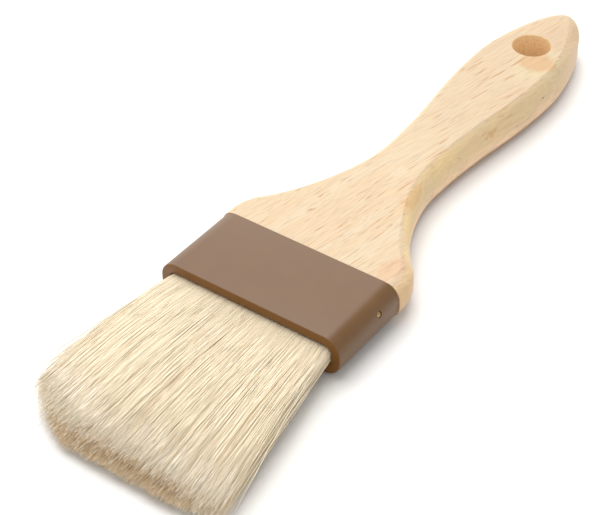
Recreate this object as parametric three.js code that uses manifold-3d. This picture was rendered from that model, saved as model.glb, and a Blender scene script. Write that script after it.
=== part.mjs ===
/**
 * Pastry brush: a wooden paddle handle, a moulded plastic ferrule pinned to it, and two rows of bristle set in
 * resin inside the ferrule.
 *
 * Millimetres. The brush lies flat: +Y runs from the bristle tips to the end of the handle, +X across it and
 * +Z up. The origin is the middle of its length and width, on the surface that it lies on.
 */
import * as THREE from 'three';
import { mergeVertices } from 'three/addons/utils/BufferGeometryUtils.js';
import Module from 'manifold-3d';

const wasm = await Module();
wasm.setup();

// ---------------------------------------------------------------- driving dimensions

const OVERALL_LENGTH = 211;
const GRIP_THICKNESS = 13;
const GAP = 0.3; // clearance between neighbouring pieces

const FERRULE = { width: 54, thickness: 11.2, length: 25, wall: 2.6, corner: 4.8, edge: 0.4 };
const HANDLE = {
  shoulderThickness: 10.4, // next to the ferrule, and a little under the ferrule's
  edgeRound: 3.6,
  swell: 38, // length over which the board thickens from shoulder to grip
};
const TONGUE = { depth: 13, edge: 0.3 };
const HANG_HOLE = { radius: 5.6, fromEnd: 22.4, chamfer: 0.2 };
const PIN = {
  shankRadius: 0.6,
  headRadius: 0.8,
  headEdge: 0.2, // thickness of the head at its rim
  headTaper: 0.5, // length over which the head narrows to the shank
  crown: 0.1, // how far the head's middle stands above and its rim lies below the mean
  length: 8,
  point: 1.2,
  fromBack: 8, // distance from the ferrule's back edge
  aboveMiddle: 2.5,
  sink: 0.1, // depth of the head below the ferrule's surface
};
const BRISTLE = {
  exposed: 54.5,
  rootDepth: 9, // how far the rows reach into the ferrule
  tipHalf: 29.4, // half width of the splayed tips
  tipThickness: 8.6, // of both rows together, at the fullest section
  tipDrop: 1.2, // how far the tips sag below the middle plane
  tipRound: 9, // length over which the tips round off
  tipNarrowing: 0.14, // share of the width that the rounded tips lose
  tipThinning: 0.6, // share of the thickness that they lose
  fullAt: 0.62, // share of the exposed length at which the rows are fullest
};
const SPACER = { thickness: 1.2, length: 6, inset: 2.4 };

// ---------------------------------------------------------------- places worked out from them

const MIDDLE = GRIP_THICKNESS / 2; // height of the plane that halves every piece
const yTips = -OVERALL_LENGTH / 2;
const yMouth = yTips + BRISTLE.exposed;
const yBack = yMouth + FERRULE.length;
const yEnd = OVERALL_LENGTH / 2;
const yRoots = yMouth + BRISTLE.rootDepth;
const yTongue = yBack - TONGUE.depth;

const sleeve = {
  half: FERRULE.width / 2 - FERRULE.wall,
  halfThickness: FERRULE.thickness / 2 - FERRULE.wall,
  corner: FERRULE.corner - FERRULE.wall,
};
const fill = { // what fits in the sleeve with the gap all round
  half: sleeve.half - GAP,
  halfThickness: sleeve.halfThickness - GAP,
  corner: sleeve.corner - GAP,
};

/**
 * Outline of the handle's right side, from the ferrule to the end: half width, distance behind the ferrule,
 * direction of the outline there, and how far the curves before and after the point hold that direction.
 */
const OUTLINE = [
  { half: 27.2, behind: 2.3, heading: [0, 1], after: 4.2 }, // shoulder
  { half: 24.1, behind: 10.8, heading: [-0.73, 0.68], before: 1, after: 5.2 }, // slope down to the neck
  { half: 8.65, behind: 45.8, heading: [0, 1], before: 16.3, after: 23.5 }, // neck
  { half: 12.65, behind: 99.5, heading: [0, 1], before: 22.9, after: 8.3 }, // grip
  { half: 0, behind: yEnd - yBack, heading: [-1, 0], before: 8.1 }, // end
];

// ---------------------------------------------------------------- helpers

/** A closed three.js geometry as a manifold solid. */
function toSolid(geometry) {
  const bare = geometry.index ? geometry.toNonIndexed() : geometry.clone();
  bare.deleteAttribute('normal');
  bare.deleteAttribute('uv');
  const merged = mergeVertices(bare, 1e-4);
  return new wasm.Manifold(new wasm.Mesh({
    numProp: 3,
    vertProperties: new Float32Array(merged.attributes.position.array),
    triVerts: new Uint32Array(merged.index.array),
  }));
}

/** A manifold solid as a three.js geometry. */
function toGeometry(solid) {
  const mesh = solid.getMesh();
  const geometry = new THREE.BufferGeometry();
  geometry.setAttribute('position', new THREE.BufferAttribute(mesh.vertProperties, mesh.numProp));
  geometry.setIndex(new THREE.BufferAttribute(mesh.triVerts, 1));
  geometry.computeVertexNormals();
  return geometry;
}

/** Moves every vertex of a geometry by a rule on its position. */
function reshape(geometry, rule) {
  const position = geometry.attributes.position;
  const point = new THREE.Vector3();
  for (let i = 0; i < position.count; i += 1) {
    point.fromBufferAttribute(position, i);
    rule(point);
    position.setXYZ(i, point.x, point.y, point.z);
  }
  geometry.computeVertexNormals();
  return geometry;
}

/** Traces a rounded rectangle, centred on the axis, into a Shape or Path. */
function roundedRectangle(path, halfWidth, halfHeight, radius) {
  const x = halfWidth - radius;
  const y = halfHeight - radius;
  path.absarc(x, y, radius, 0, Math.PI / 2);
  path.absarc(-x, y, radius, Math.PI / 2, Math.PI);
  path.absarc(-x, -y, radius, Math.PI, 1.5 * Math.PI);
  path.absarc(x, -y, radius, 1.5 * Math.PI, 2 * Math.PI);
  path.closePath();
  return path;
}

/** Extrudes a section, drawn across the brush, along its length from yLow to yHigh. */
function alongBrush(section, yLow, yHigh, { edge = 0, steps = 1, curveSegments = 6 } = {}) {
  const geometry = new THREE.ExtrudeGeometry(section, {
    depth: yHigh - yLow - 2 * edge,
    steps,
    curveSegments,
    bevelEnabled: edge > 0,
    bevelThickness: edge,
    bevelSize: edge,
    bevelOffset: -edge,
    bevelSegments: 2,
  });
  geometry.rotateX(Math.PI / 2);
  geometry.translate(0, yHigh - edge, MIDDLE);
  return geometry;
}

/** A block that spans the whole brush crosswise, from yLow to yHigh, as a cutter. */
function crosswiseBlock(yLow, yHigh) {
  const block = new THREE.BoxGeometry(4 * FERRULE.width, yHigh - yLow, 4 * GRIP_THICKNESS);
  block.translate(0, (yLow + yHigh) / 2, MIDDLE);
  return toSolid(block);
}

const smooth = (t) => THREE.MathUtils.smoothstep(t, 0, 1);

// ---------------------------------------------------------------- materials

const wood = new THREE.MeshStandardMaterial({ color: 0xf0d3ab, roughness: 0.62, metalness: 0 });
const plastic = new THREE.MeshStandardMaterial({ color: 0x8a6a4c, roughness: 0.38, metalness: 0 });
const brass = new THREE.MeshStandardMaterial({ color: 0xb9924a, roughness: 0.35, metalness: 0.9 });
const resin = new THREE.MeshStandardMaterial({ color: 0xa88450, roughness: 0.3, metalness: 0 });
const strip = new THREE.MeshStandardMaterial({ color: 0xd8b98c, roughness: 0.7, metalness: 0 });
const bristle = new THREE.MeshStandardMaterial({ color: 0xe9dbb8, roughness: 0.55, metalness: 0 });

// ---------------------------------------------------------------- pins

/** How far a pin leans: it stands square to the round narrow side of the ferrule at its height. */
const pinRise = PIN.aboveMiddle - (FERRULE.thickness / 2 - FERRULE.corner);
const pinLean = Math.asin(pinRise / FERRULE.corner);

/** Middle of a pin's head; side is 1 on +X and -1 on -X. */
function pinSeat(side) {
  const reach = FERRULE.corner - PIN.sink; // from the centre of the ferrule's corner
  const x = FERRULE.width / 2 - FERRULE.corner + reach * Math.cos(pinLean);
  const z = MIDDLE + FERRULE.thickness / 2 - FERRULE.corner + reach * Math.sin(pinLean);
  return new THREE.Vector3(side * x, yBack - PIN.fromBack, z);
}

/** A brad, drawn head up and then laid in its seat; grow widens it into the cutter of its own hole. */
function pinSolid(side, grow) {
  const shank = PIN.shankRadius + grow;
  const head = PIN.headRadius + grow;
  const top = grow > 0 ? FERRULE.wall : 0; // the cutter opens the seat out to the air
  const profile = [
    new THREE.Vector2(0, -PIN.length - grow),
    new THREE.Vector2(shank, -PIN.length + PIN.point - grow),
    new THREE.Vector2(shank, -PIN.crown - PIN.headEdge - PIN.headTaper - grow),
    new THREE.Vector2(head, -PIN.crown - PIN.headEdge - grow),
    new THREE.Vector2(head, top - PIN.crown),
    new THREE.Vector2(0, top + PIN.crown),
  ];
  const lathe = new THREE.LatheGeometry(profile, 16);
  lathe.rotateZ(-side * Math.PI / 2);
  lathe.rotateY(-side * pinLean);
  const seat = pinSeat(side);
  lathe.translate(seat.x, seat.y, seat.z);
  return toSolid(lathe);
}

const pinHoles = pinSolid(1, GAP).add(pinSolid(-1, GAP));

// ---------------------------------------------------------------- handle

/** One side of the handle's outline, from inside the ferrule to the end, seen from above. */
function handleSide() {
  const side = new THREE.Path();
  side.moveTo(OUTLINE[0].half, yTongue);
  side.lineTo(OUTLINE[0].half, yBack + OUTLINE[0].behind);
  for (let i = 1; i < OUTLINE.length; i += 1) {
    const from = OUTLINE[i - 1];
    const to = OUTLINE[i];
    side.bezierCurveTo(
      from.half + from.after * from.heading[0], yBack + from.behind + from.after * from.heading[1],
      to.half - to.before * to.heading[0], yBack + to.behind - to.before * to.heading[1],
      to.half, yBack + to.behind,
    );
  }
  return side.getPoints(12);
}

/** The board's thickness at a place along it: thin at the shoulders, full from the neck on. */
function boardThickness(y) {
  const along = (y - yBack) / HANDLE.swell;
  return THREE.MathUtils.lerp(HANDLE.shoulderThickness, GRIP_THICKNESS, smooth(along));
}

function handle() {
  const side = handleSide();
  const mirrored = side.slice(0, -1).reverse().map((point) => new THREE.Vector2(-point.x, point.y));
  const board = new THREE.ExtrudeGeometry(new THREE.Shape([...side, ...mirrored]), {
    depth: GRIP_THICKNESS - 2 * HANDLE.edgeRound,
    bevelEnabled: true,
    bevelThickness: HANDLE.edgeRound,
    bevelSize: HANDLE.edgeRound,
    bevelOffset: -HANDLE.edgeRound,
    bevelSegments: 5,
  });
  board.translate(0, 0, HANDLE.edgeRound);
  reshape(board, (point) => {
    point.z = MIDDLE + (point.z - MIDDLE) * boardThickness(point.y) / GRIP_THICKNESS;
  });

  const section = roundedRectangle(new THREE.Shape(), fill.half, fill.halfThickness, fill.corner);
  const tongue = alongBrush(section, yTongue, yBack + TONGUE.depth / 2, { edge: TONGUE.edge });

  const chamfer = HANG_HOLE.chamfer;
  const half = MIDDLE + 1;
  const hole = new THREE.LatheGeometry([
    new THREE.Vector2(0, -half),
    new THREE.Vector2(HANG_HOLE.radius + chamfer + 1, -half),
    new THREE.Vector2(HANG_HOLE.radius, -MIDDLE + chamfer),
    new THREE.Vector2(HANG_HOLE.radius, MIDDLE - chamfer),
    new THREE.Vector2(HANG_HOLE.radius + chamfer + 1, half),
    new THREE.Vector2(0, half),
  ], 40);
  hole.rotateX(Math.PI / 2);
  hole.translate(0, yEnd - HANG_HOLE.fromEnd, MIDDLE);

  return toSolid(board)
    .subtract(crosswiseBlock(yTongue - FERRULE.length, yBack + GAP))
    .add(toSolid(tongue))
    .subtract(toSolid(hole))
    .subtract(pinHoles);
}

// ---------------------------------------------------------------- ferrule and what it holds

function ferrule() {
  const band = roundedRectangle(new THREE.Shape(), FERRULE.width / 2, FERRULE.thickness / 2, FERRULE.corner);
  band.holes.push(roundedRectangle(new THREE.Path(), sleeve.half, sleeve.halfThickness, sleeve.corner));
  return toSolid(alongBrush(band, yMouth, yBack, { edge: FERRULE.edge })).subtract(pinHoles);
}

function resinPlug() {
  const section = roundedRectangle(new THREE.Shape(), fill.half, fill.halfThickness, fill.corner);
  return alongBrush(section, yRoots + GAP, yTongue - GAP);
}

function spacerStrip() {
  const half = fill.half - SPACER.inset;
  const section = roundedRectangle(new THREE.Shape(), half, SPACER.thickness / 2, SPACER.thickness / 3);
  return alongBrush(section, yRoots - SPACER.length, yRoots, { curveSegments: 4 });
}

/** Section of one row at the roots, upper or lower: flat on the inside, round at the outer corners. */
function rowSection(up) {
  const inner = SPACER.thickness / 2 + GAP;
  const { half, halfThickness: outer, corner } = fill;
  const start = Math.asin((inner - outer + corner) / corner);
  const section = new THREE.Shape();
  section.absarc(half - corner, outer - corner, corner, start, Math.PI / 2);
  section.absarc(corner - half, outer - corner, corner, Math.PI / 2, Math.PI - start);
  section.closePath();
  const points = section.getPoints(5).map((point) => new THREE.Vector2(point.x, up * point.y));
  return new THREE.Shape(up > 0 ? points : points.reverse());
}

/** One row of bristle: it fills the sleeve, closes up past the spacer, splays and rounds off at the tips. */
function bristleRow(up) {
  const row = alongBrush(rowSection(up), yTips, yRoots, { steps: 16 });
  const inner = SPACER.thickness / 2 + GAP;
  const outer = fill.halfThickness;
  return reshape(row, (point) => {
    const out = Math.max(0, (yMouth - point.y) / BRISTLE.exposed);
    const sideways = THREE.MathUtils.lerp(fill.half, BRISTLE.tipHalf, Math.sin(out * Math.PI / 2));
    const fromTip = THREE.MathUtils.clamp((point.y - yTips) / BRISTLE.tipRound, 0, 1);
    const rounding = Math.sqrt(1 - (1 - fromTip) ** 2);
    const width = sideways * (1 - BRISTLE.tipNarrowing * (1 - rounding));
    const thickest = THREE.MathUtils.lerp(outer, BRISTLE.tipThickness / 2, smooth(out / BRISTLE.fullAt));
    const thickness = thickest * (1 - BRISTLE.tipThinning * (1 - rounding));
    const pastSpacer = THREE.MathUtils.clamp((yRoots - SPACER.length - point.y) / SPACER.length, 0, 1);
    const parting = THREE.MathUtils.lerp(inner, GAP / 2, smooth(pastSpacer));
    const depth = (Math.abs(point.z - MIDDLE) - inner) / (outer - inner);
    const sag = BRISTLE.tipDrop * out ** 2;
    point.x *= width / fill.half;
    point.z = MIDDLE - sag + up * THREE.MathUtils.lerp(parting, thickness, depth);
  });
}

// ---------------------------------------------------------------- the brush

/** A named sub-part from a manifold solid or a closed geometry. */
function piece(name, shape, material) {
  const solid = shape.isBufferGeometry ? toSolid(shape) : shape;
  const mesh = new THREE.Mesh(toGeometry(solid), material);
  mesh.name = name;
  return mesh;
}

const brush = new THREE.Group();
brush.add(piece('handle', handle(), wood));
brush.add(piece('ferrule', ferrule(), plastic));
brush.add(piece('ferrule_pin_right', pinSolid(1, 0), brass));
brush.add(piece('ferrule_pin_left', pinSolid(-1, 0), brass));
brush.add(piece('resin_plug', resinPlug(), resin));
brush.add(piece('spacer_strip', spacerStrip(), strip));
brush.add(piece('bristle_row_upper', bristleRow(1), bristle));
brush.add(piece('bristle_row_lower', bristleRow(-1), bristle));

export default brush;
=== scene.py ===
"""Looks of the flat pastry brush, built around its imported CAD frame.

Sizes are in millimetres in the script and become metres when a mesh is made. The frame is the CAD's:
+Y from the bristle tips to the end of the handle, +X across, +Z up, and the floor at Z = 0.
"""
import math

import bmesh
import bpy
import numpy as np
from mathutils import Matrix, Vector


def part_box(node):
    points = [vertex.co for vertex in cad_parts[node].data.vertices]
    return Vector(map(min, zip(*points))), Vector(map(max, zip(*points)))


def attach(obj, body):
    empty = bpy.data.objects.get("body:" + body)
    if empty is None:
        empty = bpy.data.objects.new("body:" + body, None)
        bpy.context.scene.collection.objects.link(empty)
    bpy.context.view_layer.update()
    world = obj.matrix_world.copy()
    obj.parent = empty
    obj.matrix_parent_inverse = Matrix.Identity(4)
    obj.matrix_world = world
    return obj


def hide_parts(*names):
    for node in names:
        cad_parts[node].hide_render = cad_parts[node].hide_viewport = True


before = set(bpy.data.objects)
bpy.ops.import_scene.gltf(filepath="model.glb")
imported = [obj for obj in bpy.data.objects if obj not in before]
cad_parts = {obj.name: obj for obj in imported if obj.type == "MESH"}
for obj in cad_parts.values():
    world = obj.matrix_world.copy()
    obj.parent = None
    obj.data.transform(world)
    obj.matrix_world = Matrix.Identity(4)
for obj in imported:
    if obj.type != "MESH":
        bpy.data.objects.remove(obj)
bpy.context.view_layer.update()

MM = 0.001


def cad_limits(node):
    """Lowest and highest corner of a CAD node, in millimetres."""
    low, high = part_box(node)
    return np.array(low) / MM, np.array(high) / MM


# ---------------------------------------------------------------- sizes taken from the frame

ferrule_low, ferrule_high = cad_limits("ferrule")
handle_low, handle_high = cad_limits("handle")
_, row_high = cad_limits("bristle_row_upper")

Y_ROOTS = row_high[1]
Y_MOUTH = ferrule_low[1]
Y_BACK = ferrule_high[1]
Y_END = handle_high[1]
Y_TONGUE = handle_low[1]
FERRULE_HALF = (ferrule_high[0] - ferrule_low[0]) / 2
FERRULE_HALF_THICKNESS = (ferrule_high[2] - ferrule_low[2]) / 2
GRIP_HALF_THICKNESS = (handle_high[2] - handle_low[2]) / 2
MIDDLE = (ferrule_high[2] + ferrule_low[2]) / 2
SHOULDER_HALF = handle_high[0]

# ---------------------------------------------------------------- sizes that the frame's boxes don't hold

FERRULE_WALL = 2.6
FERRULE_CORNER = 4.8
FERRULE_FILLET = 0.35  # of its rims
SHOULDER_HALF_THICKNESS = 5.2
TURN_HALF = 24.1  # where the outline turns from the shoulder towards the neck
NECK_HALF = 8.65
GRIP_HALF = 12.65
SHOULDER_Y = Y_BACK + 2.3
TURN_Y = Y_BACK + 10.8
NECK_Y = Y_BACK + 45.8
GRIP_Y = Y_BACK + 99.5
EDGE_RADIUS = 4.0  # of the handle's rounded edges
CREASE = 28.0  # degrees between a rounded edge and the flat face that it meets
CREASE_AT_ENDS = 8.0  # the same, at the ferrule and at the handle's end
CREASE_FADE = 32.0  # length over which the crease fades towards each end
CREASE_RADIUS = 0.5
CREASE_MARGIN = 0.3  # flat strip beside the crease
SWELL = 38.0  # length over which the board thickens from shoulder to grip
SEAM = 0.06  # hairline between the ferrule and the wood
TONGUE_GAP = 0.05  # between the tongue and the ferrule
TONGUE_BEVEL = 0.4
TONGUE_OVERLAP = 6.0  # how far the tongue's block reaches into the board
HOLE_RADIUS = 5.6
HOLE_FROM_END = 22.4
HOLE_CHAMFER = 0.15
SPACER_HALF = 0.75
PIN_RADIUS = 0.8
PIN_CROWN = 0.22
PIN_EDGE = 0.3  # thickness of the head at its rim
PIN_HEAD = 0.8  # depth at which the head has narrowed to the shank
PIN_SHANK_RADIUS = 0.6
PIN_LENGTH = 8.0
PIN_POINT = 1.2
PIN_FROM_BACK = 8.0
PIN_ABOVE_MIDDLE = 2.5
PIN_SINK = 0.1
SEAT_CLEARANCE = 0.05  # round the pin's head
SEAT_DEPTH = 0.8

# ---------------------------------------------------------------- sizes of the bristles

HAIRS = 14000
HAIR_RADIUS = 0.076
TIP_RADIUS = 0.45  # a hair's radius at its tip, as a share of its body's
SPREAD_LENGTH = 54.0  # distance from the mouth at which the bundle has its full width
USUAL_LENGTH = 53.4  # outside the ferrule
LENGTH_SPREAD = 0.7  # standard deviation
SHORT_SHARE, SHORT_BY = 0.2, 3.4  # share of hairs that are shorter, and by how much on average
SHORTEST, LONGEST = 30, 55.2
LEFT_TIP_HALF = 26.3  # half width of the bundle at the tips
RIGHT_TIP_HALF = 31.4
LEFT_ROUNDING = 6.5  # how much shorter the outermost hairs are
RIGHT_ROUNDING = 2.4
FACE_ROUNDING = 1.6  # how much shorter the hairs at the flat faces are
SLANT = 1.7  # how much shorter the top hairs are than the middle ones, and longer the bottom ones
DROOP = 1.6  # of the tips
STRAY_X, STRAY_Z = 1.15, 0.12  # standard deviations of a tip's place
WAVE_X, WAVE_Z = 0.08, 0.05
LOOSE, LOOSE_AT_EDGES = 0.01, 0.15  # share of hairs that leave the bundle
FLOOR_GAP = 0.35  # least height of a hair's centre line
CLUMP_COLUMNS, CLUMP_ROWS = 60, 8
CLUMPS = CLUMP_COLUMNS * CLUMP_ROWS
CLUMP_PULL = 0.1, 0.4  # how far a clump's tips draw together, from the weakest to the strongest clump
CLUMP_LEAN_X, CLUMP_LEAN_Z, CLUMP_LONGER = 0.34, 0.09, 0.5  # standard deviations
PARTS = 7  # objects that each row is split into, across the brush

# ---------------------------------------------------------------- how finely curves are drawn

OUTLINE_STEP = 0.7
OUTLINE_TURN = 60  # points on the outline's curves
OUTLINE_FLARE = 160
OUTLINE_GRIP = 200
EDGE_POINTS = 10
CREASE_POINTS = 5
ACROSS = 14  # strips across a flat face of the handle
CORNER_POINTS = 14
FILLET_POINTS = 6
DOME_POINTS = 7
HOLE_SEGMENTS = 128
SEAT_SEGMENTS = 40
PIN_SEGMENTS = 32
HAIR_SIDES = 4
HAIR_RINGS = 22  # along the part of a hair that stands out of the ferrule

rng = np.random.default_rng(20)


# ---------------------------------------------------------------- mesh helpers

def smooth_step(t):
    """0 up to t = 0 and 1 from t = 1, with a smooth rise between them."""
    t = np.clip(t, 0.0, 1.0)
    return t * t * (3 - 2 * t)


def lerp(a, b, t):
    """The value that lies the share t of the way from a to b."""
    return a + (b - a) * t


def new_object(name, points, faces):
    """A mesh object from points in millimetres."""
    mesh = bpy.data.meshes.new(name)
    mesh.from_pydata((np.asarray(points) * MM).tolist(), [], faces)
    mesh.validate()
    mesh.update()
    obj = bpy.data.objects.new(name, mesh)
    bpy.context.scene.collection.objects.link(obj)
    return obj


def add_piece(obj, material, slot, *nodes):
    """Gives a finished piece its material, its body and the CAD nodes that it stands for. Its slot is not
    used.
    """
    obj.data.materials.clear()
    obj.data.materials.append(material)
    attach(obj, "root")
    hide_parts(*nodes)


def shade(obj, sharp_degrees):
    """Smooth shading, with edges sharper than the angle left crisp."""
    obj.data.shade_smooth()
    obj.data.set_sharp_from_angle(angle=math.radians(sharp_degrees))


def tidy_mesh(obj):
    """Merges points that coincide, and turns all faces outward."""
    mesh = bmesh.new()
    mesh.from_mesh(obj.data)
    bmesh.ops.remove_doubles(mesh, verts=mesh.verts, dist=1e-4 * MM)
    bmesh.ops.recalc_face_normals(mesh, faces=mesh.faces)
    mesh.to_mesh(obj.data)
    mesh.free()


def combine(obj, other, operation):
    """Joins other to obj or cuts it away, and removes it."""
    modifier = obj.modifiers.new("combine", "BOOLEAN")
    modifier.operation = operation
    modifier.solver = "EXACT"
    modifier.object = other
    graph = bpy.context.evaluated_depsgraph_get()
    mesh = bpy.data.meshes.new_from_object(obj.evaluated_get(graph), depsgraph=graph)
    obj.modifiers.clear()
    obj.data = mesh
    bpy.data.objects.remove(other)


def strip_faces(rows, columns, wrap_rows=False, wrap_columns=False):
    """Quads between neighbouring points of a grid, stored row by row."""
    faces = []
    for i in range(rows if wrap_rows else rows - 1):
        for j in range(columns if wrap_columns else columns - 1):
            i2, j2 = (i + 1) % rows, (j + 1) % columns
            faces.append((i * columns + j, i * columns + j2, i2 * columns + j2, i2 * columns + j))
    return faces


def lathe_z(name, profile, segments):
    """A closed solid turned about Z from (radius, height) points that start and end on the axis."""
    rings = [(r, z) for r, z in profile if r > 0]
    points = [(0, 0, profile[0][1])]
    for r, z in rings:
        for k in range(segments):
            a = 2 * math.pi * k / segments
            points.append((r * math.cos(a), r * math.sin(a), z))
    points.append((0, 0, profile[-1][1]))
    faces = [tuple(1 + v for v in f) for f in strip_faces(len(rings), segments, wrap_columns=True)]
    last = len(points) - 1
    top = last - segments
    for k in range(segments):
        k2 = (k + 1) % segments
        faces.append((0, 1 + k2, 1 + k))
        faces.append((last, top + k, top + k2))
    return new_object(name, points, faces)


# ---------------------------------------------------------------- outlines

def bezier(p0, p1, p2, p3, count):
    """Points of a cubic curve from p0 to p3 that leaves towards p1 and arrives from p2."""
    t = np.linspace(0, 1, count)[:, None]
    p0, p1, p2, p3 = map(np.array, (p0, p1, p2, p3))
    return (1 - t) ** 3 * p0 + 3 * (1 - t) ** 2 * t * p1 + 3 * (1 - t) * t * t * p2 + t ** 3 * p3


def evenly(points, step):
    """The same curve, with points a step apart."""
    lengths = np.concatenate([[0], np.cumsum(np.linalg.norm(np.diff(points, axis=0), axis=1))])
    wanted = np.linspace(0, lengths[-1], int(lengths[-1] / step) + 1)
    return np.stack([np.interp(wanted, lengths, points[:, k]) for k in range(2)], 1)


def section_loop(half_width, half_height, radius):
    """Points of a rounded rectangle, in X and Z, counter-clockwise."""
    points = []
    for k in range(4):
        sx = 1 if k in (0, 3) else -1
        sz = 1 if k in (0, 1) else -1
        for a in np.linspace(k * math.pi / 2, (k + 1) * math.pi / 2, CORNER_POINTS):
            points.append((sx * (half_width - radius) + radius * math.cos(a),
                           sz * (half_height - radius) + radius * math.sin(a)))
    return np.array(points)


def handle_side():
    """Right side of the handle's outline, from the ferrule to the end, in plan.

    It runs along Y at the shoulder, the neck and the grip, and along the slope at the turn.
    """
    shoulder = np.array([SHOULDER_HALF, SHOULDER_Y])
    turn = np.array([TURN_HALF, TURN_Y])
    neck = np.array([NECK_HALF, NECK_Y])
    grip = np.array([GRIP_HALF, GRIP_Y])
    end = np.array([0.0, Y_END])
    slope = np.array([-0.73, 0.68])
    start = np.array([[SHOULDER_HALF, Y_BACK + SEAM], shoulder])
    curves = [
        start,
        bezier(shoulder, shoulder + (0, 4.2), turn - slope, turn, OUTLINE_TURN)[1:],
        bezier(turn, turn + 5.2 * slope, neck - (0, 16.3), neck, OUTLINE_FLARE)[1:],
        bezier(neck, neck + (0, 23.5), grip - (0, 22.9), grip, OUTLINE_GRIP)[1:],
        bezier(grip, grip + (0, 8.3), (8.1, Y_END), end, OUTLINE_GRIP)[1:],
    ]
    return evenly(np.concatenate(curves), OUTLINE_STEP)


def board_half_thickness(y):
    """Half the board's thickness at a place along the brush."""
    return lerp(SHOULDER_HALF_THICKNESS, GRIP_HALF_THICKNESS, smooth_step((y - Y_BACK) / SWELL))


# ---------------------------------------------------------------- handle

def edge_profile(crease_degrees):
    """(inset, drop) points of a rounded edge, from the side wall up to a soft crease with the flat face."""
    crease = math.radians(90 - crease_degrees)
    points = [(EDGE_RADIUS * (1 - math.cos(a)), EDGE_RADIUS * math.sin(a))
              for a in np.linspace(0, crease, EDGE_POINTS)]
    inset, rise = points[-1]
    for a in np.linspace(crease, math.pi / 2, CREASE_POINTS)[1:]:
        points.append((inset + CREASE_RADIUS * (math.cos(crease) - math.cos(a)),
                       rise + CREASE_RADIUS * (math.sin(a) - math.sin(crease))))
    inset, top = points[-1]
    points.append((inset + CREASE_MARGIN, top))
    return [(inset, top - rise) for inset, rise in points]


def board_outline():
    """The outline in plan, up the right side and down the left, with its outward direction at each point."""
    side = handle_side()
    tangent = np.gradient(side, axis=0)
    tangent /= np.linalg.norm(tangent, axis=1)[:, None]
    normal = np.stack([tangent[:, 1], -tangent[:, 0]], 1)
    normal[0] = (1, 0)
    normal[-1] = (0, 1)
    mirror = np.array([-1, 1])
    outline = np.concatenate([side, side[-2::-1] * mirror])
    outward = np.concatenate([normal, normal[-2::-1] * mirror])
    return outline, outward


def board_rings(outline, outward):
    """Rings set in from the outline: the lower rounded edge, the side wall and the upper rounded edge."""
    from_end = np.minimum(outline[:, 1] - Y_BACK, Y_END - outline[:, 1])
    strength = smooth_step(from_end / CREASE_FADE)
    edge = [lerp(np.array(soft)[:, None], np.array(creased)[:, None], strength)
            for soft, creased in zip(edge_profile(CREASE_AT_ENDS), edge_profile(CREASE))]
    levels = [(inset, -1, drop) for inset, drop in edge[::-1]]
    levels += [(inset, 1, drop) for inset, drop in edge]
    rings = []
    for inset, up, drop in levels:
        place = outline - outward * inset[:, None]
        height = MIDDLE + up * (board_half_thickness(place[:, 1]) - drop)
        rings.append(np.column_stack([place, height]))
    return rings


def handle_board():
    """The board: its rings, rows of quads across each flat face, and one face against the ferrule."""
    outline, outward = board_outline()
    rings = board_rings(outline, outward)
    count = len(outline)
    half = (count + 1) // 2
    points = np.concatenate(rings)
    faces = strip_faces(len(rings), count)
    shares = np.linspace(0, 1, ACROSS + 1)[1:-1]
    fronts = []
    for ring, downward in ((0, True), (len(rings) - 1, False)):
        right = ring * count + np.arange(half)
        left = ring * count + count - 1 - np.arange(half)
        inner = len(points) + np.arange(len(shares) * half).reshape(-1, half)
        columns = np.stack([right, *inner, left]).tolist()
        between = [lerp(points[right], points[left], share) for share in shares]
        points = np.concatenate([points, *between])
        for near, far in zip(columns, columns[1:]):
            for row in range(half - 1):
                quad = (near[row], near[row + 1], far[row + 1], far[row])
                faces.append(quad[::-1] if downward else quad)
        fronts.append([column[0] for column in columns])
    right_front = [ring * count for ring in range(len(rings))]
    left_front = [ring * count + count - 1 for ring in range(len(rings))]
    bottom_front, top_front = fronts
    faces.append(tuple(bottom_front + left_front[1:] + top_front[::-1][1:] + right_front[::-1][1:-1]))
    board = new_object("wooden_handle", points, faces)
    tidy_mesh(board)
    return board


def tongue_block():
    """The handle's tongue inside the ferrule."""
    inset = FERRULE_WALL + TONGUE_GAP
    loop = section_loop(FERRULE_HALF - inset, FERRULE_HALF_THICKNESS - inset, FERRULE_CORNER - inset)
    tip = loop * (1 - TONGUE_BEVEL / FERRULE_HALF_THICKNESS)
    rings = []
    for y, section in ((Y_TONGUE, tip), (Y_TONGUE + TONGUE_BEVEL, loop), (Y_BACK + TONGUE_OVERLAP, loop)):
        rings.append(np.column_stack([section[:, 0], np.full(len(section), y), MIDDLE + section[:, 1]]))
    columns = len(loop)
    faces = strip_faces(len(rings), columns, wrap_columns=True)
    faces.append(tuple(range(columns)))
    faces.append(tuple(range(2 * columns, 3 * columns))[::-1])
    block = new_object("tongue", np.concatenate(rings), faces)
    tidy_mesh(block)
    return block


def hole_cutter():
    """A cylinder for the hang hole that flares at each face, and stands out of the wood at both ends."""
    reach = GRIP_HALF_THICKNESS
    past = 1.0
    wide = HOLE_RADIUS + HOLE_CHAMFER + past
    cutter = lathe_z("hole", [
        (0, -reach - past),
        (wide, -reach - past),
        (HOLE_RADIUS, -reach + HOLE_CHAMFER),
        (HOLE_RADIUS, reach - HOLE_CHAMFER),
        (wide, reach + past),
        (0, reach + past),
    ], HOLE_SEGMENTS)
    cutter.data.transform(Matrix.Translation(Vector((0, Y_END - HOLE_FROM_END, MIDDLE)) * MM))
    return cutter


def make_handle(material):
    """The board with its tongue, and the hang hole drilled through it."""
    board = handle_board()
    combine(board, tongue_block(), "UNION")
    combine(board, hole_cutter(), "DIFFERENCE")
    shade(board, 32)
    add_piece(board, material, "handle_wood", "handle")


# ---------------------------------------------------------------- ferrule and pins

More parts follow.
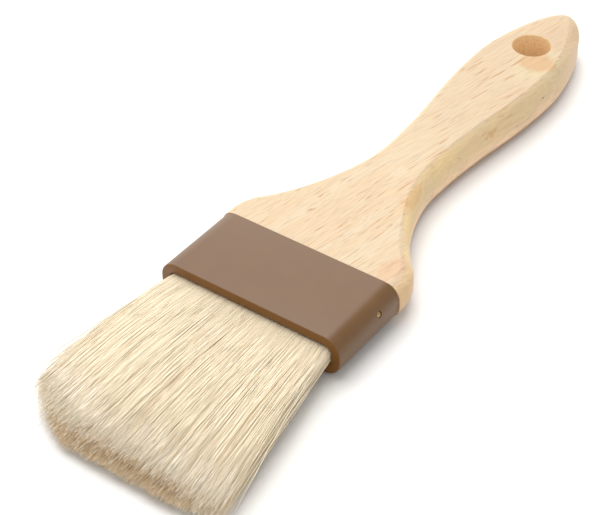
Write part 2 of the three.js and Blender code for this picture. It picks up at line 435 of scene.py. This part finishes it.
def swept_band(name, profile, half_width, half_height, corner):
    """A closed profile of (y, inset) carried round a rounded rectangle."""
    rings = []
    for y, inset in profile:
        loop = section_loop(half_width - inset, half_height - inset, corner - inset)
        rings.append(np.column_stack([loop[:, 0], np.full(len(loop), y), MIDDLE + loop[:, 1]]))
    columns = len(rings[0])
    band = new_object(name, np.concatenate(rings), strip_faces(len(rings), columns, True, True))
    tidy_mesh(band)
    return band


def fillet(y, inset, radius, start):
    """A quarter turn of a (y, inset) profile about a centre, from a start angle in quarter turns."""
    angles = (start + np.linspace(0, 1, FILLET_POINTS)) * math.pi / 2
    return [(y + radius * math.cos(a), inset + radius * math.sin(a)) for a in angles]


def pin_placement(side):
    """Stands a piece drawn along Z at the pin's head, square to the ferrule's round narrow side."""
    corner_half = FERRULE_HALF_THICKNESS - FERRULE_CORNER
    lean = math.asin((PIN_ABOVE_MIDDLE - corner_half) / FERRULE_CORNER)
    reach = FERRULE_CORNER - PIN_SINK
    x = FERRULE_HALF - FERRULE_CORNER + reach * math.cos(lean)
    z = MIDDLE + corner_half + reach * math.sin(lean)
    place = Vector((side * x, Y_BACK - PIN_FROM_BACK, z)) * MM
    return Matrix.Translation(place) @ Matrix.Rotation(side * (math.pi / 2 - lean), 4, "Y")


def seat_cutter(side):
    """The slightly tapered hole that a pin's head sits in."""
    seat = PIN_RADIUS + SEAT_CLEARANCE
    profile = [(0, -SEAT_DEPTH), (seat - 0.1, -SEAT_DEPTH), (seat, -0.25), (seat + 0.3, 2), (0, 2)]
    cutter = lathe_z("seat", profile, SEAT_SEGMENTS)
    cutter.data.transform(pin_placement(side))
    return cutter


def make_ferrule(material):
    """The plastic band, open at both ends, with a seat for each pin."""
    r = FERRULE_FILLET
    profile = []
    profile += fillet(Y_BACK - r, FERRULE_WALL - r, r, 0)
    profile += fillet(Y_MOUTH + r, FERRULE_WALL - r, r, 1)
    profile += fillet(Y_MOUTH + r, r, r, 2)
    profile += fillet(Y_BACK - r, r, r, 3)
    band = swept_band("ferrule_band", profile, FERRULE_HALF, FERRULE_HALF_THICKNESS, FERRULE_CORNER)
    for side in (1, -1):
        combine(band, seat_cutter(side), "DIFFERENCE")
    shade(band, 40)
    add_piece(band, material, "ferrule_plastic", "ferrule")


def make_pin(side, material):
    """A brad with a low domed head, in the right (1) or left (-1) side of the ferrule."""
    where = "right" if side > 0 else "left"
    body = [
        (0, -PIN_LENGTH),
        (PIN_SHANK_RADIUS, -PIN_LENGTH + PIN_POINT),
        (PIN_SHANK_RADIUS, -PIN_HEAD),
        (PIN_RADIUS, -PIN_EDGE),
    ]
    dome = [(PIN_RADIUS * math.sin(a), PIN_CROWN * (math.cos(a) - 1))
            for a in np.linspace(math.pi / 2, 0, DOME_POINTS + 1)[:-1]]
    pin = lathe_z("pin_" + where, body + dome + [(0, 0)], PIN_SEGMENTS)
    pin.data.transform(pin_placement(side))
    tidy_mesh(pin)
    shade(pin, 50)
    add_piece(pin, material, "pin_brass", "ferrule_pin_" + where)


# ---------------------------------------------------------------- bristles

def sleeve_half_width(z):
    """Half width of the sleeve's opening at a height from the middle plane."""
    half = FERRULE_HALF - FERRULE_WALL
    flat = FERRULE_HALF_THICKNESS - FERRULE_CORNER
    over = np.clip(np.abs(z) - flat, 0, None)
    radius = FERRULE_CORNER - FERRULE_WALL
    return half - radius + np.sqrt(np.clip(radius ** 2 - over ** 2, 0, None))


def hair_roots():
    """Scattered roots, denser towards the flat faces.

    Their u across and v upward run from -1 to 1, as shares of the sleeve's half width and half height.
    """
    half_width = FERRULE_HALF - FERRULE_WALL
    half_height = FERRULE_HALF_THICKNESS - FERRULE_WALL
    pitch = math.sqrt(4 * half_width * half_height / HAIRS)
    columns = int(2 * half_width / pitch)
    rows = int(2 * half_height / pitch)
    u, v = np.meshgrid((np.arange(columns) + 0.5) / columns, (np.arange(rows) + 0.5) / rows)
    u = (u + rng.uniform(-0.5, 0.5, u.shape) / columns).ravel() * 2 - 1
    v = (v + rng.uniform(-0.5, 0.5, v.shape) / rows).ravel() * 2 - 1
    v = np.sign(v) * np.abs(v) ** 0.7
    return np.clip(u, -0.995, 0.995), np.clip(v, -0.995, 0.995)


def hair_clumps(u, v):
    """The number of each hair's clump, and how far across (in u) each clump's middle lies."""
    count = len(u)
    column = np.floor((u + 1) / 2 * CLUMP_COLUMNS + rng.normal(0, 0.3, count))
    row = np.floor((v + 1) / 2 * CLUMP_ROWS + rng.normal(0, 0.3, count))
    clump = np.clip(column, 0, CLUMP_COLUMNS - 1) * CLUMP_ROWS + np.clip(row, 0, CLUMP_ROWS - 1)
    clump = clump.astype(int)
    middle = np.zeros(CLUMPS)
    np.add.at(middle, clump, u)
    middle /= np.maximum(np.bincount(clump, minlength=CLUMPS), 1)
    return clump, middle


def hair_lengths(u, v, longer):
    """Length of each hair outside the ferrule, with rounded corners, a slanted end and some short hairs."""
    count = len(u)
    left_round = LEFT_ROUNDING * np.clip((-u - 0.45) / 0.55, 0, None)
    right_round = RIGHT_ROUNDING * np.clip((u - 0.8) / 0.2, 0, 1) ** 2
    slant = SLANT * smooth_step((1 - u) / 0.6) * smooth_step((0.93 + u) / 0.4)
    length = USUAL_LENGTH - left_round - right_round - FACE_ROUNDING * np.abs(v) ** 3 - slant * v
    length += longer + rng.normal(0, LENGTH_SPREAD, count)
    short = rng.random(count) < SHORT_SHARE
    length -= np.where(short, rng.exponential(SHORT_BY, count), 0)
    length -= rng.exponential(1.8, count) * smooth_step((-0.62 - u) / 0.38)  # ragged left corner
    return np.clip(length, SHORTEST, LONGEST)


def waves(share, count, size):
    """A random gentle wave for each hair, none at the root and growing outward."""
    total = 0
    for turns_low, turns_high, weight in ((0.6, 1.4, 1.0), (1.8, 3.2, 0.6), (4.0, 7.0, 0.4)):
        phase = rng.uniform(0, 2 * math.pi, count)[:, None]
        turns = rng.uniform(turns_low, turns_high, count)[:, None]
        height = rng.normal(0, size * weight, count)[:, None]
        total = total + height * (np.sin(phase + turns * 2 * math.pi * share) - np.sin(phase))
    return total * np.minimum(1, share * 3)


def held_in(offset, limit, loose, push):
    """The same offsets, but hairs that pass the limit are pushed back inside it unless they are loose."""
    over = np.abs(offset) - limit
    inside = np.sign(offset) * (limit - push * over)
    return np.where((over > 0) & ~loose[:, None], inside, offset)


def hair_paths():
    """Centre line of every hair, as an array of hair, ring and xyz, with each hair's place in the sleeve."""
    u, v = hair_roots()
    count = len(u)
    half_height = FERRULE_HALF_THICKNESS - FERRULE_WALL - 2 * HAIR_RADIUS
    z_root = np.sign(v) * lerp(SPACER_HALF, half_height, np.abs(v))
    z_mouth = v * half_height

    clump, clump_middle = hair_clumps(u, v)
    toward = (clump_middle[clump] - u) * rng.uniform(*CLUMP_PULL, CLUMPS)[clump]
    lean_x = rng.normal(0, CLUMP_LEAN_X, CLUMPS)[clump]
    lean_z = rng.normal(0, CLUMP_LEAN_Z, CLUMPS)[clump]
    longer = rng.normal(0, CLUMP_LONGER, CLUMPS)[clump]

    # out is how far each point of a hair lies from the mouth, and t is the same as a share
    out = np.linspace(0, 1, HAIR_RINGS)[None, :] * hair_lengths(u, v, longer)[:, None]
    t = out / SPREAD_LENGTH

    # the left side of the bundle spreads soon after the mouth, and the right side evenly
    tip_half = np.where(u < 0, LEFT_TIP_HALF, RIGHT_TIP_HALF)
    mouth_half = sleeve_half_width(z_mouth)[:, None] - HAIR_RADIUS
    widen = np.where(u[:, None] < 0, lerp(1 - np.exp(-out / 12), t, 0.35), t)
    half = mouth_half + (tip_half[:, None] - mouth_half) * widen
    stray = rng.normal(0, STRAY_X, count)
    loose = rng.random(count) < np.where(np.abs(u) > 0.88, LOOSE_AT_EDGES, LOOSE)
    stray = np.where(loose, np.abs(stray) * np.where(u < 0, -2.5, 1.8), stray)
    bend = np.where(loose & (u < 0), 3.0, 1.2)
    x = (u[:, None] + toward[:, None] * t ** 5) * half
    x += lean_x[:, None] * t ** 5 + stray[:, None] * t ** bend[:, None] + waves(t, count, WAVE_X)
    x = held_in(x, half, loose, 0.35)

    # the bundle grows thicker outside the mouth, thins a little at the tips and droops
    swell = 0.9 + 0.36 * smooth_step(t * 1.9 + 0.03) - 0.12 * smooth_step((t - 0.62) / 0.38)
    z = z_mouth[:, None] * swell
    stray_z = rng.normal(0, STRAY_Z, count)
    z += lean_z[:, None] * t ** 5 + stray_z[:, None] * t ** 1.2 + waves(t, count, WAVE_Z)
    z = held_in(z, half_height * swell, loose, 0.4)
    z -= DROOP * t ** 2
    z = np.maximum(MIDDLE + z, FLOOR_GAP)

    x_root = u * (sleeve_half_width(z_root) - HAIR_RADIUS)
    root = np.stack([x_root, np.full(count, Y_ROOTS), MIDDLE + z_root], 1)
    shown = np.stack([x, Y_MOUTH - out, z], 2)
    return np.concatenate([root[:, None], shown], 1), u, v


def hair_tubes(paths, radius):
    """Points of a tapered tube along each centre line."""
    count, rings, _ = paths.shape
    along = np.gradient(paths, axis=1)
    along /= np.linalg.norm(along, axis=2)[:, :, None]
    across = np.cross(along, np.array([0.0, 0.0, 1.0]))
    across /= np.linalg.norm(across, axis=2)[:, :, None]
    above = np.cross(across, along)
    spin = rng.uniform(0, 2 * math.pi, count)
    angles = spin[:, None] + np.arange(HAIR_SIDES) * 2 * math.pi / HAIR_SIDES
    offsets = (np.cos(angles)[:, None, :, None] * across[:, :, None, :]
               + np.sin(angles)[:, None, :, None] * above[:, :, None, :])
    points = paths[:, :, None, :] + radius[:, :, None, None] * offsets
    return points.reshape(count, rings * HAIR_SIDES, 3)


def bristle_mesh(name, points, slots, ends):
    """One object of many hairs.

    Each hair's root, body and tip take the materials in its three slots. Its ends are the rings at which its
    root stops and its tip starts.
    """
    count = len(points)
    rings = points.shape[1] // HAIR_SIDES
    quads = np.array(strip_faces(rings, HAIR_SIDES, wrap_columns=True))
    caps = np.stack([np.arange(HAIR_SIDES)[::-1], (rings - 1) * HAIR_SIDES + np.arange(HAIR_SIDES)])
    start = np.arange(count) * rings * HAIR_SIDES
    faces = (start[:, None, None] + np.concatenate([quads, caps])[None]).reshape(-1, HAIR_SIDES)
    ring_of_face = np.concatenate([np.repeat(np.arange(rings - 1), HAIR_SIDES), [0, rings]])
    stretch = (ring_of_face[None, :, None] >= ends[:, None, :]).sum(2)
    material_index = np.take_along_axis(slots, stretch, 1).astype(np.int32)
    mesh = bpy.data.meshes.new(name)
    mesh.vertices.add(points.size // 3)
    mesh.vertices.foreach_set("co", (points * MM).astype(np.float32).ravel())
    mesh.loops.add(faces.size)
    mesh.loops.foreach_set("vertex_index", faces.astype(np.int32).ravel())
    mesh.polygons.add(len(faces))
    mesh.polygons.foreach_set("loop_start", np.arange(0, faces.size, HAIR_SIDES, dtype=np.int32))
    mesh.polygons.foreach_set("material_index", material_index.ravel())
    mesh.update(calc_edges=True)
    mesh.validate()
    mesh.shade_smooth()
    obj = bpy.data.objects.new(name, mesh)
    bpy.context.scene.collection.objects.link(obj)
    return obj


def hair_slots(u, v, bodies, tips):
    """Each hair's slots for root, body and tip, and the rings where its root stops and its tip starts."""
    count = len(u)
    body = rng.choice(len(bodies), count, p=[share for _, share in bodies])
    tip = len(bodies) + rng.choice(len(tips), count, p=[share for _, share in tips])
    # painted shade: low hairs away from the left corner end in the tan tip, which darkens the end face
    shaded = 0.8 * np.clip((0.8 - v) / 0.6, 0, 1) * smooth_step((u + 0.82) / 0.35)
    shaded *= lerp(0.35, 1.0, smooth_step((1 - u) / 0.5))
    tip = np.where(rng.random(count) < shaded, len(bodies) + len(tips) - 1, tip)
    tip_starts = HAIR_RINGS - rng.integers(1, 4, count) - np.where(u < -0.35, 1, 0)
    root_stops = rng.integers(3, 11, count)
    root = np.full(count, len(bodies) + len(tips))
    return np.stack([root, body, tip], 1), np.stack([root_stops, tip_starts], 1)


def make_bristles(root, bodies, tips):
    """Both rows of single hairs.

    The bodies and tips pair each material with its share of the hairs. In the end face, most hairs take the
    last of the tips instead, a tan that paints the end face's shade.
    """
    paths, u, v = hair_paths()
    thicker_left = lerp(1.3, 1.0, smooth_step((u + 0.9) / 0.8))
    radius = HAIR_RADIUS * np.clip(rng.normal(1, 0.17, len(u)), 0.6, 1.5) * thicker_left
    shares = np.concatenate([[0.0], np.linspace(0, 1, HAIR_RINGS)])
    taper = lerp(1.0, TIP_RADIUS, smooth_step((shares - 0.7) / 0.3))
    tubes = hair_tubes(paths, radius[:, None] * taper[None, :])
    slots, ends = hair_slots(u, v, bodies, tips)
    part = np.clip((u + 1) / 2 * PARTS, 0, PARTS - 1).astype(int)
    for row, name in ((v > 0, "upper"), (v <= 0, "lower")):
        for k in range(PARTS):
            chosen = row & (part == k)
            tuft = bristle_mesh(f"bristles_{name}_{k + 1}", tubes[chosen], slots[chosen], ends[chosen])
            for material, _ in (*bodies, *tips, (root, 1)):
                tuft.data.materials.append(material)
            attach(tuft, "root")
            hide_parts(f"bristle_row_{name}")


# ---------------------------------------------------------------- materials

def srgb(r, g, b):
    """A colour given in 0-255 sRGB, as the linear values that a shader takes."""
    def linear(c):
        c /= 255
        return c / 12.92 if c <= 0.04045 else ((c + 0.055) / 1.055) ** 2.4
    return (linear(r), linear(g), linear(b), 1.0)


class Nodes:
    """A material's node tree, with short ways to add and link nodes."""

    def __init__(self, name):
        self.material = bpy.data.materials.new(name)
        self.material.use_nodes = True
        self.tree = self.material.node_tree
        self.shader = next(n for n in self.tree.nodes if n.type == "BSDF_PRINCIPLED")

    def add(self, kind, inputs=None, **settings):
        """A new node of a kind, with its inputs linked or set."""
        node = self.tree.nodes.new("ShaderNode" + kind)
        for key, value in settings.items():
            setattr(node, key, value)
        for key, value in (inputs or {}).items():
            if isinstance(value, bpy.types.NodeSocket):
                self.tree.links.new(value, node.inputs[key])
            else:
                node.inputs[key].default_value = value
        return node

    def math(self, operation, a, b=0.0, c=0.0, clamp=False):
        """The result of one operation on up to three values."""
        return self.add("Math", {0: a, 1: b, 2: c}, operation=operation, use_clamp=clamp).outputs[0]

    def vector(self, operation, a, b):
        """The result of one operation on two vectors."""
        return self.add("VectorMath", {0: a, 1: b}, operation=operation).outputs[0]

    def ramp(self, value, low, high, to_low=0.0, to_high=1.0):
        """value from low to high becomes to_low to to_high, smoothly and clamped."""
        node = self.add("MapRange", {"Value": value, "From Min": low, "From Max": high,
                                     "To Min": to_low, "To Max": to_high}, interpolation_type="SMOOTHSTEP")
        return node.outputs["Result"]

    def mix(self, share, a, b, blend="MIX"):
        """Colour a with a share of colour b over it, through the Mix node's colour sockets."""
        return self.add("Mix", {0: share, 6: a, 7: b}, data_type="RGBA", blend_type=blend).outputs[2]

    def set(self, **sockets):
        """Links or sets sockets of the shader, named in lower case."""
        for key, value in sockets.items():
            socket = self.shader.inputs[key.replace("_", " ").title().replace("Ior", "IOR")]
            if isinstance(value, bpy.types.NodeSocket):
                self.tree.links.new(value, socket)
            else:
                socket.default_value = value


def stretched(nodes, space, size):
    """space divided by a feature size along each axis."""
    return nodes.vector("MULTIPLY", space, tuple(1 / s for s in size))


def grain_space(nodes, place, turn):
    """Coordinates in millimetres with Y along the grain, which is turned from the object's Y in plan."""
    return nodes.add("Mapping", {"Vector": place, "Rotation": (0, 0, math.radians(turn))}).outputs[0]


def grain_noise(nodes, space, width, length, detail=2.0):
    """Noise with features of a width across the grain and a length along it."""
    place = stretched(nodes, space, (width, length, width))
    return nodes.add("TexNoise", {"Vector": place, "Scale": 1.0, "Detail": detail}).outputs["Fac"]


def grain_lines(nodes, space):
    """Thin lines along the grain, a little over a millimetre apart and broken into short lengths."""
    field = grain_noise(nodes, space, 1.3, 60, 1.0)
    from_level = nodes.math("ABSOLUTE", nodes.math("SUBTRACT", field, 0.5))
    line = nodes.ramp(from_level, 0.004, 0.022, 1.0, 0.0)
    lengths = nodes.ramp(grain_noise(nodes, space, 1.0, 7.0, 0.0), 0.42, 0.56)
    return nodes.math("MULTIPLY", line, lengths)


def pore_layer(nodes, space, width, length, seed):
    """Fine dark dashes along the grain: the core of each long Voronoi cell, most of them faint."""
    shifted = nodes.vector("ADD", stretched(nodes, space, (width, length, width)), (seed, seed, seed))
    cell = nodes.add("TexVoronoi", {"Vector": shifted, "Scale": 1.0}, feature="F1")
    random = nodes.add("SeparateColor", {0: cell.outputs["Color"]}).outputs[0]
    dash = nodes.ramp(cell.outputs["Distance"], 0.12, 0.24, 1.0, 0.0)
    strength = nodes.math("MULTIPLY_ADD", nodes.math("POWER", random, 5.0), 0.42, 0.14)
    return nodes.math("MULTIPLY", dash, strength)


def stain(nodes, place, centre, size):
    """1 inside a soft uneven ellipsoid in the wood, and 0 outside."""
    reach = 4.0
    wander = nodes.add("TexNoise", {"Vector": place, "Scale": 0.35, "Detail": 2.0}).outputs["Color"]
    shift = nodes.add("VectorMath", {0: wander, 3: reach}, operation="SCALE").outputs[0]
    middle = tuple(c + reach / 2 for c in centre)
    away = nodes.vector("SUBTRACT", nodes.vector("ADD", place, shift), middle)
    share = nodes.add("VectorMath", {0: stretched(nodes, away, size)}, operation="LENGTH").outputs["Value"]
    return nodes.ramp(share, 0.55, 1.15, 1.0, 0.0)


def drilled_wall(nodes, place, colour, hole):
    """The hang hole's wall: a speckled orange end-grain tone, with painted shade that darkens it deeper in
    the hole.
    """
    flat = nodes.vector("MULTIPLY", place, (1, 1, 0))
    away = nodes.add("VectorMath", {0: flat, 1: (*hole, 0)}, operation="DISTANCE").outputs["Value"]
    wall = nodes.ramp(away, HOLE_RADIUS + 0.03, HOLE_RADIUS + 0.12, 1.0, 0.0)
    speckle = nodes.add("TexNoise", {"Vector": place, "Scale": 1.9, "Detail": 3.0}).outputs["Fac"]
    hole_wall = nodes.mix(nodes.ramp(speckle, 0.35, 0.7), srgb(255, 226, 178), srgb(242, 202, 154))
    height = nodes.add("SeparateXYZ", {0: place}).outputs["Z"]
    # painted shade: the wall darkens deeper in the hole
    hole_wall = nodes.mix(nodes.ramp(height, MIDDLE - 0.6, MIDDLE - 2.0), hole_wall, srgb(140, 92, 56))
    return nodes.mix(wall, colour, hole_wall)


def wood_material(name, light, warm, side, painted_bounce_side, turn, stains=(), hole=None):
    """Pale pored hardwood: growth bands, fibre, broken grain lines, dark pores, and sides of another tone.

    The side colour lies over the upper part of the side walls, and the painted bounce colour, painted light
    from the floor, over their lower part.
    Stains are tuples of centre, half sizes, colour and strength.
    """
    nodes = Nodes(name)
    coordinates = nodes.add("TexCoord").outputs
    place = nodes.add("VectorMath", {0: coordinates["Object"], 3: 1 / MM}, operation="SCALE").outputs[0]
    space = grain_space(nodes, place, turn)

    bands = nodes.ramp(grain_noise(nodes, space, 5.5, 60, 3.0), 0.36, 0.64)
    mottle = nodes.ramp(grain_noise(nodes, space, 1.5, 9), 0.35, 0.65, -0.25, 0.25)
    colour = nodes.mix(nodes.math("ADD", bands, mottle, clamp=True), light, warm)

    upright = nodes.add("SeparateXYZ", {0: coordinates["Normal"]}).outputs["Z"]
    sideways = nodes.ramp(nodes.math("ABSOLUTE", upright), 0.95, 0.70)
    height = nodes.add("SeparateXYZ", {0: place}).outputs["Z"]
    # painted floor-bounce light: the side walls turn lighter and pinker towards the bottom
    side_and_painted_bounce = nodes.mix(nodes.ramp(height, 2.5, 8.5), painted_bounce_side, side)
    patchy = nodes.ramp(grain_noise(nodes, space, 4, 11), 0.3, 0.6, 0.6, 1.0)
    colour = nodes.mix(nodes.math("MULTIPLY", sideways, patchy), colour, side_and_painted_bounce)
    # painted shade: the lower rounded edges, which face the floor, turn darker brown
    painted_under_shade = nodes.math("MULTIPLY", nodes.ramp(upright, -0.03, -0.35), nodes.math("MULTIPLY", sideways, 0.8))
    colour = nodes.mix(painted_under_shade, colour, srgb(150, 106, 72))

    for centre, size, stain_colour, strength in stains:
        shape = stain(nodes, place, centre, size)
        colour = nodes.mix(nodes.math("MULTIPLY", shape, strength), colour, stain_colour)

    fibre = grain_noise(nodes, space, 0.34, 6)
    tone = nodes.ramp(fibre, 0.3, 0.7, 0.93, 1.045)
    tone_colour = nodes.add("CombineColor", {0: tone, 1: tone, 2: tone}).outputs[0]
    colour = nodes.mix(1.0, colour, tone_colour, "MULTIPLY")
    lines = nodes.math("MULTIPLY", grain_lines(nodes, space), nodes.ramp(sideways, 0.0, 1.0, 0.9, 0.4))
    colour = nodes.mix(lines, colour, srgb(178, 136, 96))

    pores = 0.0
    for width, length, seed in ((0.42, 10.5, 0.0), (0.37, 13.0, 7.3), (0.45, 8.0, 3.1)):
        pores = nodes.math("MAXIMUM", pores, pore_layer(nodes, space, width, length, seed))
    pores = nodes.math("MULTIPLY", pores, nodes.ramp(sideways, 0.0, 1.0, 1.0, 0.3))
    colour = nodes.mix(pores, colour, srgb(106, 68, 40))

    if hole is not None:
        colour = drilled_wall(nodes, place, colour, hole)

    relief = nodes.math("SUBTRACT", nodes.math("MULTIPLY", fibre, 0.25), pores)
    bump = nodes.add("Bump", {"Height": relief, "Strength": 0.2, "Distance": 0.08 * MM}).outputs[0]
    rough = nodes.ramp(fibre, 0.3, 0.7, 0.52, 0.66)
    nodes.set(base_color=colour, normal=bump, roughness=rough)
    return nodes.material


def plastic_material():
    """Satin moulded plastic, warmer on the rim that faces the bristles."""
    nodes = Nodes("ferrule_satin_plastic")
    place = nodes.add("TexCoord").outputs["Object"]
    cloud = nodes.add("TexNoise", {"Vector": place, "Scale": 130.0, "Detail": 2.0}).outputs["Fac"]
    colour = nodes.mix(nodes.ramp(cloud, 0.3, 0.7), srgb(102, 70, 35), srgb(105, 73, 37))
    facing = nodes.add("SeparateXYZ", {0: nodes.add("NewGeometry").outputs["Normal"]}).outputs["Y"]
    rim = nodes.ramp(facing, -0.35, -0.9)
    colour = nodes.mix(rim, colour, srgb(116, 74, 16))
    grain = nodes.add("TexNoise", {"Vector": place, "Scale": 5200.0, "Detail": 2.0}).outputs["Fac"]
    bump = nodes.add("Bump", {"Height": grain, "Strength": 0.12, "Distance": 0.02 * MM}).outputs[0]
    rough = nodes.ramp(cloud, 0.3, 0.7, 0.34, 0.40)
    nodes.set(base_color=colour, normal=bump, roughness=rough, specular_ior_level=0.45)
    return nodes.material


def brass_material():
    """Brass with darker tarnished patches."""
    nodes = Nodes("pin_worn_brass")
    place = nodes.add("TexCoord").outputs["Object"]
    tarnish = nodes.add("TexNoise", {"Vector": place, "Scale": 2400.0, "Detail": 3.0}).outputs["Fac"]
    colour = nodes.mix(nodes.ramp(tarnish, 0.35, 0.7), srgb(178, 156, 116), srgb(136, 112, 76))
    rough = nodes.ramp(tarnish, 0.35, 0.7, 0.4, 0.6)
    nodes.set(base_color=colour, roughness=rough, metallic=1.0)
    return nodes.material


def resin_material():
    """Clouded amber casting resin."""
    nodes = Nodes("cast_resin")
    place = nodes.add("TexCoord").outputs["Object"]
    cloud = nodes.add("TexNoise", {"Vector": place, "Scale": 400.0, "Detail": 3.0}).outputs["Fac"]
    colour = nodes.mix(nodes.ramp(cloud, 0.3, 0.7), srgb(176, 138, 86), srgb(150, 112, 64))
    nodes.set(base_color=colour, roughness=nodes.ramp(cloud, 0.3, 0.7, 0.2, 0.35))
    return nodes.material


def hair_material(name, colour, roughness):
    """One shade of bristle, with a plain colour and plain numbers, so that hairs keep them when exported."""
    nodes = Nodes(name)
    nodes.set(base_color=srgb(*colour), roughness=roughness, specular_ior_level=0.3)
    return nodes.material


# ---------------------------------------------------------------- the pieces

HOLE = (0.0, Y_END - HOLE_FROM_END)
TOP = MIDDLE + GRIP_HALF_THICKNESS

# marks in the handle's wood, natural ones and one painted shade: centre, half sizes, colour and strength
STAINS = [
    ((0, Y_END - 22, TOP), (18, 66, 16), srgb(192, 169, 138), 0.6),  # warmer grip
    ((5.8, Y_END - 30, TOP), (7.8, 9.4, 6), srgb(197, 181, 144), 0.8),  # pale ring round the figure
    ((5.8, Y_END - 29.2, TOP), (5.9, 5.4, 5), srgb(192, 154, 110), 0.85),  # pinkish figure by the hole
    ((4.2, Y_END - 14, TOP), (5.6, 10.5, 4), srgb(190, 162, 130), 0.6),  # between the hole and the tip
    ((10.6, Y_BACK + 32, 11.8), (2.6, 9, 2.8), srgb(202, 158, 102), 0.5),  # upper edge of the neck
    ((10.2, Y_BACK + 69.4, 9), (0.9, 3.5, 1.1), srgb(196, 142, 96), 0.6),  # small knot
    ((12.7, Y_BACK + 94.2, 8.2), (0.5, 0.5, 0.5), srgb(96, 66, 44), 0.8),  # specks
    ((9.1, Y_BACK + 37.4, 12.6), (0.4, 0.5, 0.4), srgb(110, 76, 48), 0.8),
    ((SHOULDER_HALF - 5.5, Y_BACK + 5, 11.6), (3.4, 6, 4), srgb(200, 152, 118), 0.4),  # shoulder
    ((SHOULDER_HALF, Y_BACK + 4, 6), (5.5, 10, 6), srgb(206, 169, 128), 0.75),  # painted shade on the shoulder's lower corner beside the ferrule
    ((SHOULDER_HALF - 5, Y_BACK + 15, 6), (6, 13, 5), srgb(220, 190, 168), 0.75),  # pinker shoulder side
    ((10, Y_END - 14, 7), (5, 13, 6), srgb(218, 188, 156), 0.65),  # pinker side by the end
]

# the handle's colours: light, warm, side, and the lower sides' painted floor-bounce light
handle_colours = (srgb(203, 183, 152), srgb(203, 177, 143), srgb(221, 192, 140), srgb(243, 209, 173))
make_handle(wood_material("handle_pale_hardwood", *handle_colours, turn=10.5, stains=STAINS, hole=HOLE))
make_ferrule(plastic_material())
brass = brass_material()
make_pin(1, brass)
make_pin(-1, brass)

bodies = [
    (hair_material("bristle_cream", (235, 219, 190), 0.55), 0.40),
    (hair_material("bristle_ivory", (238, 226, 200), 0.55), 0.32),
    (hair_material("bristle_straw", (231, 213, 182), 0.55), 0.18),
    (hair_material("bristle_pale", (243, 233, 210), 0.55), 0.07),
    (hair_material("bristle_tan", (216, 195, 157), 0.55), 0.03),
]
tips = [
    (hair_material("bristle_tip_pale", (253, 244, 226), 0.5), 0.55),
    (hair_material("bristle_tip_cream", (247, 232, 205), 0.5), 0.40),
    # the tan tip is a tone of some hairs and the painted shade of the end face
    (hair_material("bristle_tip_tan_and_painted_shade", (226, 201, 165), 0.6), 0.05),
]
# the roots' darker cream is partly oil on the hairs and partly painted shade near the ferrule's mouth
make_bristles(hair_material("bristle_root_oiled_and_shaded", (230, 215, 188), 0.55), bodies, tips)

spacer_colours = (srgb(196, 172, 132), srgb(186, 160, 120), srgb(190, 166, 126), srgb(190, 166, 126))
spacer_wood = wood_material("spacer_sawn_wood", *spacer_colours, turn=90)
for node, material in (("resin_plug", resin_material()), ("spacer_strip", spacer_wood)):
    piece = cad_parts[node]
    piece.data.materials.clear()
    piece.data.materials.append(material)

# ---------------------------------------------------------------- floor, light and camera

FLOOR_REACH = 3.0

floor_mesh = bpy.data.meshes.new("floor")
corners = [(x * FLOOR_REACH, y * FLOOR_REACH, 0) for x, y in ((-1, -1), (1, -1), (1, 1), (-1, 1))]
floor_mesh.from_pydata(corners, [], [(0, 1, 2, 3)])
floor = bpy.data.objects.new("floor", floor_mesh)
bpy.context.scene.collection.objects.link(floor)
paper = Nodes("white_sweep")
paper.set(base_color=(0.86, 0.853, 0.835, 1), roughness=0.9)
floor_mesh.materials.append(paper.material)


def soft_light(name, place, target, size, power):
    """A square area light at a place in metres, turned to a target."""
    data = bpy.data.lights.new(name, "AREA")
    data.shape = "SQUARE"
    data.size = size
    data.energy = power
    light = bpy.data.objects.new(name, data)
    light.location = place
    light.rotation_euler = (Vector(target) - Vector(place)).to_track_quat("-Z", "Y").to_euler()
    bpy.context.scene.collection.objects.link(light)


origin = (0, 0, 0)
soft_light("overhead", (-0.25, 0.1, 1.3), origin, 1.0, 10.5)
soft_light("left_back", (-0.75, 0.6, 0.75), origin, 1.5, 11.0)

world = bpy.data.worlds.new("studio")
world.use_nodes = True
background = world.node_tree.nodes["Background"]
background.inputs["Color"].default_value = (1, 1, 1, 1)
background.inputs["Strength"].default_value = 0.76
bpy.context.scene.world = world

AZIMUTH, ELEVATION, ROLL = 36.64, 39.94, -0.91  # degrees
DISTANCE = 0.4348  # metres from the target
TARGET = Vector((-1.5, Y_MOUTH + 23.34, MIDDLE - FERRULE_HALF_THICKNESS + 8)) * MM
LENS, SENSOR = 104.754, 36.0


def make_camera():
    """The camera, aimed at the target from its azimuth and elevation, and turned by its roll."""
    a, e, roll = (math.radians(degrees) for degrees in (AZIMUTH, ELEVATION, ROLL))
    back = Vector((math.sin(a) * math.cos(e), -math.cos(a) * math.cos(e), math.sin(e)))
    level = Vector((math.cos(a), math.sin(a), 0))
    upward = back.cross(level)
    right = math.cos(roll) * level + math.sin(roll) * upward
    up = math.cos(roll) * upward - math.sin(roll) * level
    data = bpy.data.cameras.new("camera")
    data.sensor_width = SENSOR
    data.lens = LENS
    data.clip_start = 0.01
    camera = bpy.data.objects.new("camera", data)
    turn = Matrix((right, up, back)).transposed().to_4x4()
    camera.matrix_world = Matrix.Translation(TARGET + back * DISTANCE) @ turn
    bpy.context.scene.collection.objects.link(camera)
    bpy.context.scene.camera = camera


make_camera()
bpy.context.scene.view_settings.view_transform = "Standard"
